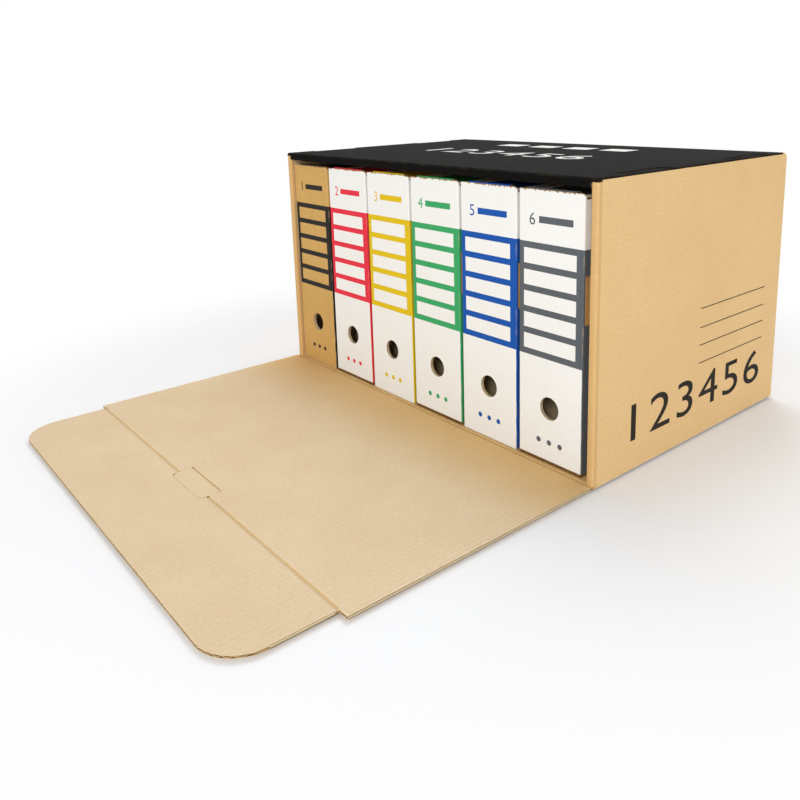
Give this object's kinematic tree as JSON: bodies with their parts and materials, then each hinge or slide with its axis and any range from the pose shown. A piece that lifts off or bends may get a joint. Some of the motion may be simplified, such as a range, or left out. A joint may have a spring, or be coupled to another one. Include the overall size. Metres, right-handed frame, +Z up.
{
  "type": "archive box",
  "caption": "Front-opening archive box of corrugated board: rolled side walls, hinged front flap with tuck flap, and upright file boxes with label frames that slide out.",
  "frame": {"origin": "centre of the bottom panel's underside", "axes": "+X to the right seen from the open front, +Y to the back, +Z up"},
  "size_m": [0.56, 0.7538, 0.31],
  "materials": {
    "kraft_board": "matte",
    "black_print": "matte",
    "kraft_print": "matte",
    "white_print": "matte",
    "red_print": "matte",
    "yellow_print": "matte",
    "green_print": "matte",
    "blue_print": "matte",
    "grey_print": "matte"
  },
  "bodies": {
    "case": {"bottom_panel": "kraft_board", "back_panel": "kraft_board", "top_panel": "black_print", "top_roll": "black_print", "top_inner_panel": "kraft_board", "left_outer_wall": "kraft_board", "left_front_roll": "kraft_board", "left_dust_flap": "kraft_board", "left_inner_wall": "kraft_board", "left_top_dust_flap": "kraft_board", "left_front_lock_tab": "black_print", "left_back_lock_tab": "black_print", "right_outer_wall": "kraft_board", "right_front_roll": "kraft_board", "right_dust_flap": "kraft_board", "right_inner_wall": "kraft_board", "right_top_dust_flap": "kraft_board", "right_front_lock_tab": "black_print", "right_back_lock_tab": "black_print"},
    "front_flap": {"front_flap": "kraft_board"},
    "tuck_flap": {"tuck_flap": "kraft_board"},
    "pull_tab": {"pull_tab": "kraft_board"},
    "file_1": {"file_1_front": "kraft_print", "file_1_back": "kraft_print", "file_1_left": "black_print", "file_1_right": "black_print", "file_1_base": "kraft_print", "file_1_lid": "black_print"},
    "file_2": {"file_2_front": "white_print", "file_2_back": "white_print", "file_2_left": "red_print", "file_2_right": "red_print", "file_2_base": "white_print", "file_2_lid": "red_print"},
    "file_3": {"file_3_front": "white_print", "file_3_back": "white_print", "file_3_left": "yellow_print", "file_3_right": "yellow_print", "file_3_base": "white_print", "file_3_lid": "yellow_print"},
    "file_4": {"file_4_front": "white_print", "file_4_back": "white_print", "file_4_left": "green_print", "file_4_right": "green_print", "file_4_base": "white_print", "file_4_lid": "green_print"},
    "file_5": {"file_5_front": "white_print", "file_5_back": "white_print", "file_5_left": "blue_print", "file_5_right": "blue_print", "file_5_base": "white_print", "file_5_lid": "blue_print"},
    "file_6": {"file_6_front": "white_print", "file_6_back": "white_print", "file_6_left": "grey_print", "file_6_right": "grey_print", "file_6_base": "white_print", "file_6_lid": "grey_print"}
  },
  "joints": [
    {"name": "front_flap_hinge", "type": "hinge", "parent": "case", "child": "front_flap", "pos_m": [0, -0.1803, 0.003], "axis": [1, 0, 0], "range_deg": [-90, 0]},
    {"name": "tuck_flap_hinge", "type": "hinge", "parent": "front_flap", "child": "tuck_flap", "pos_m": [0, -0.4738, 0.003], "axis": [1, 0, 0], "range_deg": [-90, 0]},
    {"name": "pull_tab_hinge", "type": "hinge", "parent": "front_flap", "child": "pull_tab", "pos_m": [0, -0.4588, 0.003], "axis": [-1, 0, 0], "range_deg": [0, 60]},
    {"name": "file_1_slide", "type": "slide", "parent": "case", "child": "file_1", "axis": [0, -1, 0], "range_m": [0, 0.275]},
    {"name": "file_2_slide", "type": "slide", "parent": "case", "child": "file_2", "axis": [0, -1, 0], "range_m": [0, 0.275]},
    {"name": "file_3_slide", "type": "slide", "parent": "case", "child": "file_3", "axis": [0, -1, 0], "range_m": [0, 0.275]},
    {"name": "file_4_slide", "type": "slide", "parent": "case", "child": "file_4", "axis": [0, -1, 0], "range_m": [0, 0.275]},
    {"name": "file_5_slide", "type": "slide", "parent": "case", "child": "file_5", "axis": [0, -1, 0], "range_m": [0, 0.275]},
    {"name": "file_6_slide", "type": "slide", "parent": "case", "child": "file_6", "axis": [0, -1, 0], "range_m": [0, 0.275]}
  ]
}
